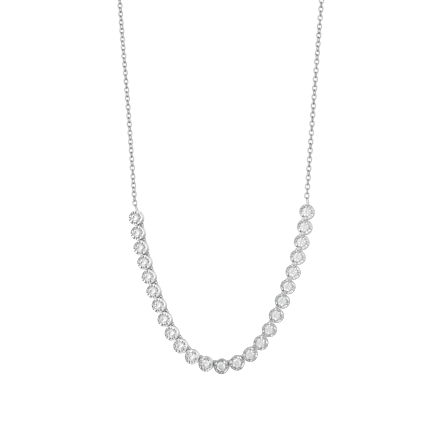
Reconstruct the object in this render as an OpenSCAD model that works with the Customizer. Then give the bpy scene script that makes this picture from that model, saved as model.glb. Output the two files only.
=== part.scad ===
// Necklace: a hanging front row of round stone settings, joined by oval rings,
// on a fine link chain that closes round the back with a plain ring clasp.
// Millimetres, +Z up, the row faces -Y, and the origin is the middle of the clasp,
// where the loop rests on the back of the neck.

/* [Row] */
// Number of settings in the front row
setting_count = 25; // [21:1:25]
// How far the lowest part of the row hangs below the clasp
row_drop = 146; // [142:0.5:150]
// How far the row lies in front of the clasp
row_reach = 78; // [74:1:82]
// Backward slope of the row, as it lies on a chest, in degrees
front_slope = 8; // [0:1:12]
// Left end of the row, across from the middle
row_start_x = -17.8; // [-19:0.1:-17]
// Left end of the row, above its lowest part
row_start_z = 33.6; // [31:0.1:36]

/* [Setting] */
// Outer diameter of a setting
setting_d = 3.4; // [3.3:0.02:3.4]
// Depth of the straight outer wall
wall_h = 1.45; // [1.3:0.05:1.5]
// Depth of the taper between the wall and the base
taper_h = 0.4; // [0.35:0.05:0.45]
// Whole depth of a setting
setting_depth = 2.4; // [2.3:0.05:2.6]
// Outer diameter of the base
base_d = 2.1; // [2:0.02:2.14]
// Width of the thin rim round the face
rim_w = 0.13; // [0.1:0.01:0.16]
// How far the face plate lies below the rim
plate_drop = 0.12; // [0.1:0.01:0.16]
// Radius of the ball that scoops each bright half-moon
scoop_r = 0.95; // [0.85:0.01:1]
// Radius of each grain that holds the stone
grain_r = 0.17; // [0.14:0.01:0.18]
// Width of the groove on each side of a grain
groove_w = 0.34; // [0.2:0.02:0.34]

/* [Stone] */
// Girdle diameter of a stone
stone_d = 2.14; // [2.04:0.02:2.16]
// How far the table of a stone stands above the rim of its setting
stone_rise = 0.1; // [0:0.02:0.1]
// Height of the crown above the girdle
crown_h = 0.3; // [0.26:0.01:0.34]
// Thickness of the girdle
girdle_h = 0.05; // [0.03:0.01:0.06]
// Depth of the pavilion below the girdle
pavilion_h = 0.9; // [0.84:0.01:0.95]

/* [Rings] */
// Wire radius of the eyelets and rings of the row
wire_r = 0.11; // [0.1:0.01:0.12]
// Radius of an eyelet, and half the width of a ring, to the middle of the wire
loop_r = 0.32; // [0.31:0.01:0.34]
// Length of a joining ring between the middles of its two ends
ring_pitch = 1.28; // [1.26:0.02:1.32]
// Width of the web that closes the middle of a joining ring
web_w = 0.22; // [0.16:0.02:0.24]
// Length of an end ring between the middles of its two ends
end_ring_pitch = 2.1; // [1.6:0.05:2.4]
// Lean of the left end ring towards its chain, in degrees
left_ring_lean = 15; // [0:1:18]
// Lean of the right end ring towards its chain, in degrees
right_ring_lean = 15; // [0:1:18]
// Turn of the left end ring about its own length, in degrees
left_ring_roll = 10; // [0:1:28]
// Turn of the right end ring about its own length, in degrees
right_ring_roll = -32; // [-34:1:0]
// Distance of the eyelets from the middle of the setting, along the row
eyelet_x = 1.04; // [1.03:0.01:1.06]
// Distance of the eyelets from the middle of the setting, towards the inside of the curve
eyelet_y = 0.72; // [0.7:0.01:0.76]
// Depth of the eyelets behind the rim
eyelet_z = 2; // [1.98:0.01:2.04]

/* [Chain] */
// Outer diameter of the chain
chain_d = 1.15; // [0.9:0.05:1.3]

/* [Clasp] */
// Radius of the clasp's ring, to the middle of its round bar
clasp_r = 2.2; // [2:0.1:2.6]
// Radius of the clasp's round bar
clasp_bar_r = 0.5; // [0.4:0.05:0.55]

/* [Hidden] */
row_bends = [
    // station, direction of the row, outward tip of the face, slack of the ring (+ drawn apart)
    [0, -83, 9, 0.08],
    [2, -74, 9, 0.08],
    [5, -68, 10, 0.07],
    [7, -64, 10, 0.06],
    [9, -49, 11, 0],
    [11, -17, 12, -0.12],
    [13, 24, 12, -0.12],
    [14, 41, 10, -0.12],
    [15, 54, 8, -0.04],
    [17, 67, 4, 0.05],
    [20, 72, 2, 0.05],
    [24, 84, 2, 0.04]
];
// Where the chain passes on each side of the opening, in the sloping plane of the row
arm_left = [
    // across, up
    [-22, 60],
    [-24.4, 80],
    [-26.2, 98]
];
arm_right = [
    // across, up
    [21.5, 60],
    [22.7, 80],
    [24, 98]
];
// The stretch round the side and back of the neck, given for the right side
back_route = [
    [26.6, -62.5, -31],
    [27.6, -54.5, -20],
    [28, -44, -12.5],
    [27.4, -31.5, -7.3],
    [24.3, -19, -3.8],
    [18.5, -9, -1.7],
    [10.5, -2.2, -0.4]
];
tube_sides = 8;
tube_rings = 40;
gap = 0.12;
clasp_gap = 0.25;
fine = 24;
last = setting_count - 1;
setting_r = setting_d / 2;
face_r = setting_r - rim_w;
base_r = base_d / 2;
stone_r = stone_d / 2;
edge = 0.04;
stone_gap = 0.03;
seat_clearance = 0.04;
plate_dish = 0.04;
girdle_z = stone_rise - crown_h;
pavilion_z = girdle_z - girdle_h;
seat_r = stone_r + stone_gap;
seat_z = pavilion_z - seat_clearance;
light_hole_r = 0.55;
light_hole_z = seat_z - (seat_r - light_hole_r) * pavilion_h / stone_r;
plate_z = -plate_drop - plate_dish;
scoop_ring_r = 1.66;
scoop_depth = 0.2;
scoop_z = plate_z - scoop_depth + scoop_r;
grain_ring_r = 1.23;
grain_z = -0.07;
groove_offset = 0.33;
groove_depth = 0.5;
groove_start = 0.95;
groove_l = 0.7;
web_t = 1.6 * wire_r;
end_eyelet_x = setting_r - 0.3;
eye_r = 0.55;
eye_wire_r = 0.2;
eye_overlap = 0.05;
eye_x = -(clasp_r + clasp_bar_r + eye_r - eye_overlap);
small_ring_r = 0.62;
small_ring_wire_r = 0.14;
small_ring_offset = 0.67;
small_ring_x = eye_x - small_ring_offset;
big_ring_r = 1.05;
big_ring_wire_r = 0.2;
big_ring_offset = 0.25;
big_ring_x = clasp_r + big_ring_offset;

function two_digits(n) = str(n < 10 ? "0" : "", n);
function setting_name(i) = str("setting_", two_digits(i + 1));
function stone_name(i) = str("stone_", two_digits(i + 1));

// Direction of the row, tip of the face and slack of the rings at a setting
function bend(i) = lookup(i, [for (row = row_bends) [row[0], row[1]]]);
function tip(i) = lookup(i, [for (row = row_bends) [row[0], row[2]]]);
function slack(i) = lookup(i, [for (row = row_bends) [row[0], row[3]]]);
function heading(a) = [cos(a), sin(a)];
function joint_bend(i) = (bend(i) + bend(i + 1)) / 2;
function joint_span(i) = ring_pitch + (slack(i) + slack(i + 1)) / 2;

// The middle of each setting's two eyelets, in the sloping plane of the row
function next_middle(p, i) = p
    + eyelet_x * (heading(bend(i)) + heading(bend(i + 1)))
    + joint_span(i) * heading(joint_bend(i));
row_start = [row_start_x, row_start_z];
middles = [for (i = 0, p = row_start; i <= last; p = next_middle(p, i), i = i + 1) p];

// A point of a setting's own frame, and of the row's plane, in the whole necklace's frame
function tipped(p, a) = [p.x, p.y * cos(a) - p.z * sin(a), p.y * sin(a) + p.z * cos(a)];
function turned(p, a) = [p.x * cos(a) - p.y * sin(a), p.x * sin(a) + p.y * cos(a), p.z];
function from_plane(p) = tipped(p, 90 - front_slope) + [0, -row_reach, -row_drop];
function from_setting(p, i) = from_plane(
    turned(tipped(p + [0, -eyelet_y, eyelet_z], tip(i)), bend(i)) + [middles[i].x, middles[i].y, 0]
);

module on_plane() {
    translate([0, -row_reach, -row_drop])
        rotate([90 - front_slope, 0, 0])
            children();
}

module at_setting(i) {
    on_plane()
        translate([middles[i].x, middles[i].y, 0])
            rotate([tip(i), 0, bend(i)])
                translate([0, -eyelet_y, eyelet_z])
                    children();
}

// A closed wire ring with straight sides, lying flat, its length along X
module oval_ring(pitch, half_w, wire) {
    straight = pitch - 2 * half_w;
    for (side = [-1, 1]) {
        translate([side * straight / 2, 0, 0])
            rotate([0, 0, -90 * side])
                rotate_extrude(angle = 180, $fn = 2 * fine)
                    translate([half_w, 0])
                        circle(r = wire, $fn = fine);
        translate([0, side * half_w, 0])
            rotate([0, 90, 0])
                cylinder(r = wire, h = straight, center = true, $fn = fine);
    }
}

module round_ring(r, wire) {
    rotate_extrude($fn = 2 * fine)
        translate([r, 0])
            circle(r = wire, $fn = fine);
}

// The turned body: rim, face plate, seat for the stone, straight wall, taper and base
module setting_body() {
    rotate_extrude($fn = 3 * fine)
        polygon([
            [light_hole_r, -setting_depth],
            [base_r - edge, -setting_depth],
            [base_r, -setting_depth + edge],
            [base_r, -wall_h - taper_h],
            [setting_r, -wall_h],
            [setting_r, -edge],
            [setting_r - edge, 0],
            [face_r, 0],
            [face_r, -plate_drop],
            [seat_r, plate_z],
            [seat_r, seat_z],
            [light_hole_r, light_hole_z]
        ]);
}

// Four half-moon scoops and eight grooves, all inside the rim
module face_cuts() {
    intersection() {
        cylinder(r = face_r, h = setting_depth, center = true, $fn = 3 * fine);
        for (quarter = [0:90:270])
            rotate([0, 0, quarter]) {
                rotate([0, 0, 45])
                    translate([scoop_ring_r, 0, scoop_z])
                        sphere(r = scoop_r, $fn = 2 * fine);
                for (side = [-1, 1])
                    translate([groove_start, side * groove_offset - groove_w / 2, -groove_depth])
                        cube([groove_l, groove_w, groove_depth]);
            }
    }
}

module grains() {
    for (quarter = [0:90:270])
        rotate([0, 0, quarter])
            translate([grain_ring_r, 0, grain_z])
                sphere(r = grain_r, $fn = fine);
}

// An eyelet on the inner side of the curve, soldered to the taper and the base
module row_eyelet(side) {
    translate([side * eyelet_x, eyelet_y, -eyelet_z])
        rotate([90, 0, 0])
            round_ring(loop_r, wire_r);
}

// The eyelet at an end of the row, lying in the row's plane, which carries the end ring
module end_eyelet(side) {
    translate([side * end_eyelet_x, 0, -eyelet_z])
        round_ring(loop_r, wire_r);
}

module setting(i) {
    color("gainsboro")
        at_setting(i) {
            difference() {
                setting_body();
                face_cuts();
            }
            grains();
            if (i == 0) end_eyelet(-1); else row_eyelet(-1);
            if (i == last) end_eyelet(1); else row_eyelet(1);
        }
}

// A round brilliant: table, stars, kites, halves, girdle, lower halves and mains
table_r = 0.56 * stone_r;
star_r = 0.79 * stone_r;
lower_r = 0.24 * stone_r;
star_z = crown_h * (stone_r - star_r * cos(22.5)) / (stone_r - table_r);
lower_z = -pavilion_h * (stone_r - lower_r * cos(22.5)) / stone_r;

function ring_points(n, r, z, shift) = [
    for (k = [0:n - 1]) [r * cos(360 * k / n + shift), r * sin(360 * k / n + shift), z]
];

module brilliant() {
    table = 0;
    star = 8;
    top = 16;
    bottom = 32;
    lower = 48;
    culet = 56;
    points = concat(
        ring_points(8, table_r, crown_h, 0),
        ring_points(8, star_r, star_z, 22.5),
        ring_points(16, stone_r, 0, 0),
        ring_points(16, stone_r, -girdle_h, 0),
        ring_points(8, lower_r, lower_z - girdle_h, 22.5),
        [[0, 0, -pavilion_h - girdle_h]]
    );
    eighths = [for (k = [0:7]) let (
        n = (k + 1) % 8,
        before = (k + 7) % 8,
        g = 2 * k,
        g1 = 2 * k + 1,
        g2 = (2 * k + 2) % 16
    ) each [
        [table + n, table + k, star + k],
        [table + k, star + before, top + g, star + k],
        [star + k, top + g, top + g1],
        [star + k, top + g1, top + g2],
        [top + g, bottom + g, bottom + g1, top + g1],
        [top + g1, bottom + g1, bottom + g2, top + g2],
        [lower + k, bottom + g1, bottom + g],
        [lower + k, bottom + g2, bottom + g1],
        [culet, lower + k, bottom + g, lower + before]
    ]];
    outside = [for (face = eighths) [for (j = [len(face) - 1:-1:0]) face[j]]];
    table_face = [for (k = [7:-1:0]) table + k];
    polyhedron(points = points, faces = concat([table_face], outside), convexity = 2);
}

module stone(i) {
    color("white")
        at_setting(i)
            translate([0, 0, girdle_z])
                brilliant();
}

// A joining ring, closed across its middle by a flat soldered web
module joining_ring() {
    oval_ring(ring_pitch, loop_r, wire_r);
    cube([web_w, 2 * loop_r, web_t], center = true);
}

// The rings that join the settings, each through one eyelet of both neighbours
module row_rings() {
    color("silver")
        for (i = [0:last - 1]) {
            spot = middles[i] + eyelet_x * heading(bend(i)) + joint_span(i) / 2 * heading(joint_bend(i));
            on_plane()
                translate([spot.x, spot.y, 0])
                    rotate([(tip(i) + tip(i + 1)) / 2, 0, joint_bend(i)])
                        joining_ring();
        }
}

module end_ring(i, side, lean, roll) {
    color("silver")
        at_setting(i)
            translate([side * end_eyelet_x, 0, -eyelet_z])
                rotate([0, 0, lean])
                    translate([side * end_ring_pitch / 2, 0, 0])
                        rotate([90 + roll, 0, 0])
                            oval_ring(end_ring_pitch, loop_r, wire_r);
}

// A smooth curve through a list of points
function spline(points, t) =
    let (
        count = len(points),
        k = min(floor(t), count - 2),
        u = t - k,
        b = points[k],
        c = points[k + 1],
        a = k > 0 ? points[k - 1] : 2 * b - c,
        d = k < count - 2 ? points[k + 2] : 2 * c - b
    )
    (2 * b + (c - a) * u + (2 * a - 5 * b + 4 * c - d) * u * u + (3 * b - a - 3 * c + d) * u * u * u) / 2;
function unit(v) = v / norm(v);

// The chain runs up the front from an end ring, back round the neck and to the clasp
end_ring_reach = end_ring_pitch + wire_r + gap;
function chain_start(i, side, lean) =
    from_setting([side * end_eyelet_x, 0, -eyelet_z] + side * end_ring_reach * [cos(lean), sin(lean), 0], i);
function mirrored(points) = [for (p = points) [-p.x, p.y, p.z]];
function raised(points) = [for (p = points) from_plane([p.x, p.y, 0])];
route_left = concat(
    [chain_start(0, -1, left_ring_lean)], raised(arm_left), mirrored(back_route),
    [[small_ring_x - small_ring_r - small_ring_wire_r - clasp_gap, 0, 0]]
);
route_right = concat(
    [chain_start(last, 1, right_ring_lean)], raised(arm_right), back_route,
    [[big_ring_x + big_ring_r + big_ring_wire_r + clasp_gap, 0, 0]]
);

module tube(route, r) {
    spans = len(route) - 1;
    steps = tube_rings - 1;
    middle = [for (k = [0:steps]) spline(route, spans * k / steps)];
    rings = [for (k = [0:steps]) let (
        along = unit(middle[min(k + 1, steps)] - middle[max(k - 1, 0)]),
        inward = [-middle[k].x, -row_reach / 2 - middle[k].y, 0],
        side = unit(cross(along, inward)),
        up = cross(side, along)
    ) each [for (j = [0:tube_sides - 1])
        middle[k] + r * (cos(360 * j / tube_sides) * side + sin(360 * j / tube_sides) * up)
    ]];
    walls = [for (k = [0:steps - 1], j = [0:tube_sides - 1]) let (
        n = (j + 1) % tube_sides,
        here = k * tube_sides,
        next = here + tube_sides
    ) each [
        [here + j, here + n, next + n],
        [here + j, next + n, next + j]
    ]];
    first_cap = [for (j = [tube_sides - 1:-1:0]) j];
    last_cap = [for (j = [0:tube_sides - 1]) steps * tube_sides + j];
    polyhedron(points = rings, faces = concat(walls, [first_cap, last_cap]), convexity = 6);
}

module chain(route) {
    color("silver")
        tube(route, chain_d / 2);
}

// A plain closed ring with a soldered eye for the left chain
module clasp() {
    color("gainsboro") {
        rotate([90, 0, 0])
            round_ring(clasp_r, clasp_bar_r);
        translate([eye_x, 0, 0])
            rotate([90, 0, 0])
                round_ring(eye_r, eye_wire_r);
    }
}

module clasp_ring(x, r, wire) {
    color("silver")
        translate([x, 0, 0])
            round_ring(r, wire);
}

for (i = [0:last]) {
    setting(i);
    stone(i);
}
row_rings();
end_ring(0, -1, left_ring_lean, left_ring_roll);  // end_ring_left
end_ring(last, 1, right_ring_lean, right_ring_roll);  // end_ring_right
chain(route_left);  // chain_left
chain(route_right);  // chain_right
clasp();
clasp_ring(small_ring_x, small_ring_r, small_ring_wire_r);  // clasp_ring_left
clasp_ring(big_ring_x, big_ring_r, big_ring_wire_r);  // clasp_ring_right
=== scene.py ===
"""Looks of the necklace: polished silver, cut stones and real interlocked links.

The settings, stones, rings and clasp are the frame's own solids with better
materials. The two chains are made here, link by link, along the route of the
tubes that they replace.
"""
import math
import random

import bpy
import numpy as np
from mathutils import Matrix, Vector


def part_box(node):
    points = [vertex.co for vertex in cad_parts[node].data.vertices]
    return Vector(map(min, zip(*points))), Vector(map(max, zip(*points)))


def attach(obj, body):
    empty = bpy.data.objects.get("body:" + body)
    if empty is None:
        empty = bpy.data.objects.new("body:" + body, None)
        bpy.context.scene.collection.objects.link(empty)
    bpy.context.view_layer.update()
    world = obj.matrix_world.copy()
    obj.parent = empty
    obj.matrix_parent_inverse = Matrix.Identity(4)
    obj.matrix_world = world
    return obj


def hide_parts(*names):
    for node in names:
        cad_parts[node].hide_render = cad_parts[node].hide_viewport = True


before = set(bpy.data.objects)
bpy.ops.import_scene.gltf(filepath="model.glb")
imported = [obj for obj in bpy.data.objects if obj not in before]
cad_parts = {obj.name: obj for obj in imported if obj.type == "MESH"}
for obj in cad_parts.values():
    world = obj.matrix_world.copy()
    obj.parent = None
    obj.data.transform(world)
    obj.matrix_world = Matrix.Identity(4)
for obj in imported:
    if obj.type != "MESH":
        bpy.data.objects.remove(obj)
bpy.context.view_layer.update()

MM = 0.001

# The photo's view: sizes in millimetres, the azimuth in degrees and the clipping in metres
VIEW_TARGET = Vector((1.15, -75.42, -113.19))
VIEW_WIDTH = 99.2
VIEW_DISTANCE = 260
VIEW_AZIMUTH = 11
SENSOR = 36
CLIP_START = 0.01
CLIP_END = 100

# The row's sloping plane and the chains' route, in millimetres, as in the part's source
ROW_DROP = 146
ROW_REACH = 78
FRONT_SLOPE = 8
ARM_LEFT = [(-22, 60), (-24.4, 80), (-26.2, 98)]
ARM_RIGHT = [(21.5, 60), (22.7, 80), (24, 98)]
BACK_ROUTE = [
    (26.6, -62.5, -31),
    (27.6, -54.5, -20),
    (28, -44, -12.5),
    (27.4, -31.5, -7.3),
    (24.3, -19, -3.8),
    (18.5, -9, -1.7),
    (10.5, -2.2, -0.4),
]
TUBE_GAP = 0.12
CLASP_GAP = 0.25
END_RING_WIRE = 0.11

# How finely a route is walked, and how far to each side, in millimetres, its direction is taken
ROUTE_STEPS = 3000
ROUTE_REACH = 0.3
# Where along Y the links start to turn from the front to the outside of the neck, and over what
# length, in millimetres
TURN_START = -64
TURN_LENGTH = 20

# A link of the chain, in millimetres
LINK_LENGTH = 1.57
LINK_WIDTH = 1.16
LINK_WIRE = 0.27
LINK_PITCH = 1.035
ARC_STEPS = 12
WIRE_SIDES = 10
# Its solder joint: how much thicker the wire is there, as a share of it, and over what length
SOLDER_SWELL = 0.07
SOLDER_REACH = 0.2
# How far any link rolls from its place, and a link on edge leans from it, in degrees
LINK_ROLL = 9
EDGE_LEAN = (4, 26)

# Painted shade in the metal's recesses: samples, and the shares of open sky that count as closed
# and open
SHADE_SAMPLES = 8
SHADE_RANGE = (0.4, 0.62)
# Polishing marks, with their depth in millimetres, and the duller clouds, larger than a mark
MARK_DEPTH = 0.01
MARK_STRENGTH = 0.25
MARK_DETAIL = 6.0
CLOUD_SIZE = 4
CLOUD_DETAIL = 3.0
CLOUD_RANGE = (0.3, 0.7)

STONE_IOR = 2.2
STONE_TINTS = ((0.93, 0.94, 0.95), (1, 1, 1))
STONE_TINT_SCALE = 900
STONE_ROUGHNESS = (0.0, 0.03)
STONE_POLISH_SCALE = 2500
STONE_POLISH_RANGE = (0.4, 0.7)

# Stage, in metres
FLOOR_Z = -0.235
STAGE_RADIUS = 3
STAGE_ROUGHNESS = 0.9
FLOOR_SIDES = 96
DOME_SEGMENTS = 48
DOME_RINGS = 24

# Brightness of the even tent
TENT = 0.15
# Rings of softboxes, in degrees: how far the ring lies off the line to the camera, the reach and
# the bright core of each softbox, and its brightness by its turn round the line from the right
SOFTBOX_RINGS = [
    (0, 30, 8, {0: 0.6}),
    (40, 24, 6, {0: 1.2, 45: 1.3, 90: 0.15, 135: 1.6, 180: 1.2, 225: 0.2, 270: 0.85, 315: 0.6}),
    (75, 30, 8, {135: 1.1, 180: 0.8, 225: 2.0}),
    (125, 42, 12, {30: 0.35, 210: 1.2}),
    (180, 80, 20, {0: 0.4}),
]


# Materials

def new_material(name):
    material = bpy.data.materials.new(name)
    material.use_nodes = True
    tree = material.node_tree
    return material, tree, tree.nodes["Principled BSDF"]


def noise(tree, scale, detail=CLOUD_DETAIL):
    where = tree.nodes.new("ShaderNodeTexCoord")
    texture = tree.nodes.new("ShaderNodeTexNoise")
    texture.inputs["Scale"].default_value = scale
    texture.inputs["Detail"].default_value = detail
    tree.links.new(where.outputs["Object"], texture.inputs["Vector"])
    return texture.outputs["Fac"]


def ranged(tree, source, taken, given, interpolation="LINEAR"):
    """A value taken from one range to another."""
    remap = tree.nodes.new("ShaderNodeMapRange")
    remap.interpolation_type = interpolation
    remap.inputs["From Min"].default_value = taken[0]
    remap.inputs["From Max"].default_value = taken[1]
    remap.inputs["To Min"].default_value = given[0]
    remap.inputs["To Max"].default_value = given[1]
    tree.links.new(source, remap.inputs["Value"])
    return remap.outputs["Result"]


def mixed(tree, share, first, second):
    """A colour that goes from the first to the second as the share goes from 0 to 1."""
    mix = tree.nodes.new("ShaderNodeMix")
    mix.data_type = "RGBA"
    mix.inputs["A"].default_value = (*first, 1)
    mix.inputs["B"].default_value = (*second, 1)
    tree.links.new(share, mix.inputs["Factor"])
    return mix.outputs["Result"]


def metal(name, bright, painted_shade, roughness, painted_shade_reach, polish_scale):
    """Polished silver with polishing marks, its colour greyed by painted shade in its recesses and
    brighter where it is open.
    """
    material, tree, shader = new_material(name)
    shader.inputs["Metallic"].default_value = 1.0

    # Painted shade: the colour goes from the dark recess colour to the bright one as more sky is
    # open above the metal
    occlusion = tree.nodes.new("ShaderNodeAmbientOcclusion")
    occlusion.inputs["Distance"].default_value = painted_shade_reach * MM
    occlusion.samples = SHADE_SAMPLES
    unshaded_share = ranged(tree, occlusion.outputs["AO"], SHADE_RANGE, (0, 1))
    tree.links.new(mixed(tree, unshaded_share, painted_shade, bright), shader.inputs["Base Color"])

    cloud = noise(tree, polish_scale / CLOUD_SIZE)
    tree.links.new(ranged(tree, cloud, CLOUD_RANGE, roughness), shader.inputs["Roughness"])

    marks = noise(tree, polish_scale, MARK_DETAIL)
    bump = tree.nodes.new("ShaderNodeBump")
    bump.inputs["Strength"].default_value = MARK_STRENGTH
    bump.inputs["Distance"].default_value = MARK_DEPTH * MM
    tree.links.new(marks, bump.inputs["Height"])
    tree.links.new(bump.outputs["Normal"], shader.inputs["Normal"])
    return material


def cut_stone(name):
    """A clear, colourless brilliant with the faintest polishing marks on its facets."""
    material, tree, shader = new_material(name)
    shader.inputs["IOR"].default_value = STONE_IOR
    shader.inputs["Transmission Weight"].default_value = 1.0
    tint = mixed(tree, noise(tree, STONE_TINT_SCALE), *STONE_TINTS)
    tree.links.new(tint, shader.inputs["Base Color"])
    polish = noise(tree, STONE_POLISH_SCALE)
    roughness = ranged(tree, polish, STONE_POLISH_RANGE, STONE_ROUGHNESS)
    tree.links.new(roughness, shader.inputs["Roughness"])
    return material


def dress(names, material):
    for name in names:
        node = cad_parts[name]
        node.data.materials.clear()
        node.data.materials.append(material)


# In each metal the recess colour is painted shade in its hollows
setting_metal = metal(
    "setting_metal",
    bright=(0.86, 0.86, 0.865),
    painted_shade=(0.25, 0.25, 0.253),
    roughness=(0.08, 0.18),
    painted_shade_reach=0.3,
    polish_scale=3000,
)
# The chain is the same silver as the settings, given a darker colour as painted shade
chain_metal = metal(
    "chain_metal",
    bright=(0.58, 0.58, 0.585),
    painted_shade=(0.33, 0.33, 0.334),
    roughness=(0.2, 0.32),
    painted_shade_reach=0.3,
    polish_scale=4000,
)
# The rings' near-black recess colour, reaching far, is painted shade under and between the
# settings
ring_metal = metal(
    "ring_metal",
    bright=(0.8, 0.8, 0.805),
    painted_shade=(0.03, 0.03, 0.031),
    roughness=(0.15, 0.25),
    painted_shade_reach=0.7,
    polish_scale=4000,
)
stone = cut_stone("stone")

setting_names = sorted(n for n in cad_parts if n.startswith("setting_"))
stone_names = sorted(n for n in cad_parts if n.startswith("stone_"))
dress(setting_names + ["clasp"], setting_metal)
dress(stone_names, stone)
dress(["row_rings"], ring_metal)
dress(["end_ring_left", "end_ring_right", "clasp_ring_left", "clasp_ring_right"], chain_metal)


# The chains' route

def from_plane(across, up):
    slope = math.radians(90 - FRONT_SLOPE)
    return Vector((across, -ROW_REACH + up * math.cos(slope), -ROW_DROP + up * math.sin(slope)))


def spline(points, t):
    """A smooth curve through a list of points."""
    k = min(int(t), len(points) - 2)
    u = t - k
    b = points[k]
    c = points[k + 1]
    a = points[k - 1] if k > 0 else 2 * b - c
    d = points[k + 2] if k < len(points) - 2 else 2 * c - b
    return (
        2 * b
        + (c - a) * u
        + (2 * a - 5 * b + 4 * c - d) * u ** 2
        + (3 * b - a - 3 * c + d) * u ** 3
    ) / 2


class Route:
    """A smooth line through points, walked by its length."""

    def __init__(self, points):
        spans = len(points) - 1
        line = [spline(points, spans * k / ROUTE_STEPS) for k in range(ROUTE_STEPS + 1)]
        self.line = np.array(line)
        steps = np.linalg.norm(np.diff(self.line, axis=0), axis=1)
        self.at = np.concatenate([[0], np.cumsum(steps)])
        self.length = float(self.at[-1])

    def point(self, s):
        """The point at a length, past the ends of the line too."""
        inside = min(max(s, 0), self.length)
        p = Vector([np.interp(inside, self.at, self.line[:, axis]) for axis in range(3)])
        if s != inside:
            p += (s - inside) * self.along(inside)
        return p

    def along(self, s):
        low = min(max(s - ROUTE_REACH, 0), self.length - 2 * ROUTE_REACH)
        return (self.point(low + 2 * ROUTE_REACH) - self.point(low)).normalized()


def box_corners(name):
    return [Vector(corner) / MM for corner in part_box(name)]


def ring_shape(name):
    """Middle, long direction and half length, to the middle of the wire, of an end ring."""
    points = np.array([v.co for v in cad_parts[name].data.vertices]) / MM
    low, high = box_corners(name)
    middle = (low + high) / 2
    along = Vector(np.linalg.eigh(np.cov((points - points.mean(0)).T))[1][:, 2])
    if along.z < 0:
        along = -along
    reach = max((Vector(p) - middle).dot(along) for p in points)
    return middle, along, reach - END_RING_WIRE


def clasp_ring_end(name, side):
    """Outermost middle of a clasp ring's wire, and the wire's radius."""
    low, high = box_corners(name)
    wire = (high.z - low.z) / 2
    outer = high.x if side > 0 else low.x
    return outer - side * wire, wire


def chain_route(end_ring, arm, back, clasp_point):
    middle, along, reach = ring_shape(end_ring)
    start = middle + along * (reach + END_RING_WIRE + TUBE_GAP)
    arm_points = [from_plane(*p) for p in arm]
    back_points = [Vector(p) for p in back]
    return Route([start] + arm_points + back_points + [clasp_point])


# One link, and a chain of them

def link_shape():
    """A link's wire as rings of points: oval, lying in its own XY plane, its length along X."""
    wire = LINK_WIRE / 2
    half_w = LINK_WIDTH / 2 - wire
    straight = LINK_LENGTH / 2 - wire - half_w
    middles, outs = [], []
    for side, start in ((1, -90), (-1, 90)):
        for k in range(ARC_STEPS + 1):
            a = math.radians(start + 180 * k / ARC_STEPS)
            out = np.array([math.cos(a), math.sin(a), 0])
            middles.append(np.array([side * straight, 0, 0]) + half_w * out)
            outs.append(out)
    rings = []
    for middle, out in zip(middles, outs):
        joint = math.exp(-((middle[0] / SOLDER_REACH) ** 2)) if middle[1] > 0 else 0
        r = wire * (1 + SOLDER_SWELL * joint)
        for j in range(WIRE_SIDES):
            a = 2 * math.pi * j / WIRE_SIDES
            rings.append(middle + r * (math.cos(a) * out + math.sin(a) * np.array([0, 0, 1])))
    return np.array(rings), len(middles)


def link_faces(base, ring_count):
    """Faces from each ring of points of a link's wire to the next, from its first vertex on."""
    faces = []
    for i in range(ring_count):
        here = base + i * WIRE_SIDES
        ahead = base + (i + 1) % ring_count * WIRE_SIDES
        for j in range(WIRE_SIDES):
            n = (j + 1) % WIRE_SIDES
            faces.append((here + j, here + n, ahead + n, ahead + j))
    return faces


def link_axes(middle, along, roll):
    """Directions along and across a link and out of its plane, which faces away from the neck."""
    back_share = min(max((middle.y - TURN_START) / TURN_LENGTH, 0), 1)
    outward = Vector((back_share * middle.x, middle.y + ROW_REACH / 2, 0))
    outward = (outward - outward.dot(along) * along).normalized()
    outward = Matrix.Rotation(math.radians(roll), 3, along) @ outward
    return np.array([along, outward.cross(along), outward])


def chain(name, route, first, last, seed):
    """Interlocked links along the route, in turn facing outwards and on edge."""
    points, ring_count = link_shape()
    intervals = 2 * round((last - first) / LINK_PITCH / 2)
    pitch = (last - first) / intervals
    chance = random.Random(seed)
    vertices, faces = [], []
    for k in range(intervals + 1):
        s = first + k * pitch
        middle = route.point(s)
        roll = chance.uniform(-LINK_ROLL, LINK_ROLL) + (k % 2) * (90 - chance.uniform(*EDGE_LEAN))
        if k in (0, intervals):
            roll = 0
        faces.extend(link_faces(len(vertices), ring_count))
        axes = link_axes(middle, route.along(s), roll)
        vertices.extend((points @ axes + np.array(middle)) * MM)
    mesh = bpy.data.meshes.new(name)
    mesh.from_pydata(vertices, [], faces)
    mesh.shade_smooth()
    piece = bpy.data.objects.new(name, mesh)
    bpy.context.scene.collection.objects.link(piece)
    piece.data.materials.append(chain_metal)
    return piece


def make_chain(hand, side, arm, back, seed):
    """The links of one side, from inside its end ring to inside its clasp ring."""
    wire_x, wire = clasp_ring_end(f"clasp_ring_{hand}", side)
    tube_end = Vector((wire_x + side * (wire + CLASP_GAP), 0, 0))
    route = chain_route(f"end_ring_{hand}", arm, back, tube_end)
    half_link = LINK_LENGTH / 2 - LINK_WIRE / 2
    first = half_link - (END_RING_WIRE + LINK_WIRE / 2) - (END_RING_WIRE + TUBE_GAP)
    last = route.length + wire + CLASP_GAP + (wire + LINK_WIRE / 2) - half_link
    piece = chain(f"links_{hand}", route, first, last, seed)
    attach(piece, "root")
    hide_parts(f"chain_{hand}")


mirrored_back = [(-x, y, z) for x, y, z in BACK_ROUTE]
make_chain("left", -1, ARM_LEFT, mirrored_back, seed=11)
make_chain("right", 1, ARM_RIGHT, BACK_ROUTE, seed=23)


# Stage, light and camera

def flat_material(name, colour, glow):
    material, _, shader = new_material(name)
    shader.inputs["Base Color"].default_value = (*colour, 1)
    shader.inputs["Roughness"].default_value = STAGE_ROUGHNESS
    shader.inputs["Emission Color"].default_value = (1, 1, 1, 1)
    shader.inputs["Emission Strength"].default_value = glow
    return material


def camera_only(piece):
    piece.visible_diffuse = False
    piece.visible_glossy = False
    piece.visible_transmission = False
    piece.visible_shadow = False


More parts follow.
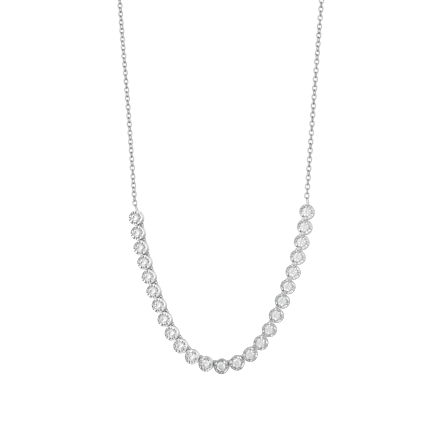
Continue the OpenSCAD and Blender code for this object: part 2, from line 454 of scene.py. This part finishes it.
def add_floor():
    bpy.ops.mesh.primitive_circle_add(
        vertices=FLOOR_SIDES, radius=STAGE_RADIUS, fill_type="NGON", location=(0, 0, FLOOR_Z)
    )
    floor = bpy.context.object
    floor.name = "floor"
    floor.data.materials.append(flat_material("floor_white", (0.9, 0.9, 0.9), glow=0.85))
    camera_only(floor)


def add_backdrop():
    """A white dome that only the camera sees."""
    bpy.ops.mesh.primitive_uv_sphere_add(
        segments=DOME_SEGMENTS, ring_count=DOME_RINGS, radius=STAGE_RADIUS
    )
    dome = bpy.context.object
    dome.name = "backdrop"
    dome.data.materials.append(flat_material("backdrop_white", (0, 0, 0), glow=1.0))
    camera_only(dome)


def view_axes():
    """Towards the camera, to the right of the picture, and up."""
    azimuth = math.radians(VIEW_AZIMUTH)
    return (
        Vector((math.sin(azimuth), -math.cos(azimuth), 0)),
        Vector((math.cos(azimuth), math.sin(azimuth), 0)),
        Vector((0, 0, 1)),
    )


def swung(start, towards, degrees):
    """A direction turned from one axis towards another."""
    angle = math.radians(degrees)
    return math.cos(angle) * start + math.sin(angle) * towards


def softbox(tree, where, direction, brightness, reach, core):
    """The light of a round softbox, even in its core and fading out at its reach, in degrees."""
    dot = tree.nodes.new("ShaderNodeVectorMath")
    dot.operation = "DOT_PRODUCT"
    dot.inputs[1].default_value = direction
    tree.links.new(where, dot.inputs[0])
    edges = (math.cos(math.radians(reach)), math.cos(math.radians(core)))
    return ranged(tree, dot.outputs["Value"], edges, (0, brightness), "SMOOTHSTEP")


def add_world():
    """A soft studio: an even grey tent, with softboxes round the line to the photo's camera."""
    world = bpy.data.worlds.new("studio")
    bpy.context.scene.world = world
    world.use_nodes = True
    tree = world.node_tree
    where = tree.nodes.new("ShaderNodeTexCoord").outputs["Generated"]
    front, right, up = view_axes()
    total = None
    for off, reach, core, boxes in SOFTBOX_RINGS:
        for turn, brightness in boxes.items():
            direction = swung(front, swung(right, up, turn), off)
            adder = tree.nodes.new("ShaderNodeMath")
            adder.operation = "ADD"
            if total is None:
                adder.inputs[0].default_value = TENT
            else:
                tree.links.new(total, adder.inputs[0])
            light = softbox(tree, where, direction, brightness, reach, core)
            tree.links.new(light, adder.inputs[1])
            total = adder.outputs["Value"]
    background = tree.nodes["Background"]
    background.inputs["Color"].default_value = (1, 1, 1, 1)
    tree.links.new(total, background.inputs["Strength"])


def add_camera():
    data = bpy.data.cameras.new("camera")
    camera = bpy.data.objects.new("camera", data)
    bpy.context.scene.collection.objects.link(camera)
    front = view_axes()[0]
    camera.location = (VIEW_TARGET + VIEW_DISTANCE * front) * MM
    camera.rotation_euler = (-front).to_track_quat("-Z", "Y").to_euler()
    data.sensor_width = SENSOR
    data.lens = SENSOR * VIEW_DISTANCE / VIEW_WIDTH
    data.clip_start = CLIP_START
    data.clip_end = CLIP_END
    data.dof.use_dof = False
    bpy.context.scene.camera = camera


add_floor()
add_backdrop()
add_world()
add_camera()
bpy.context.scene.view_settings.view_transform = "Standard"
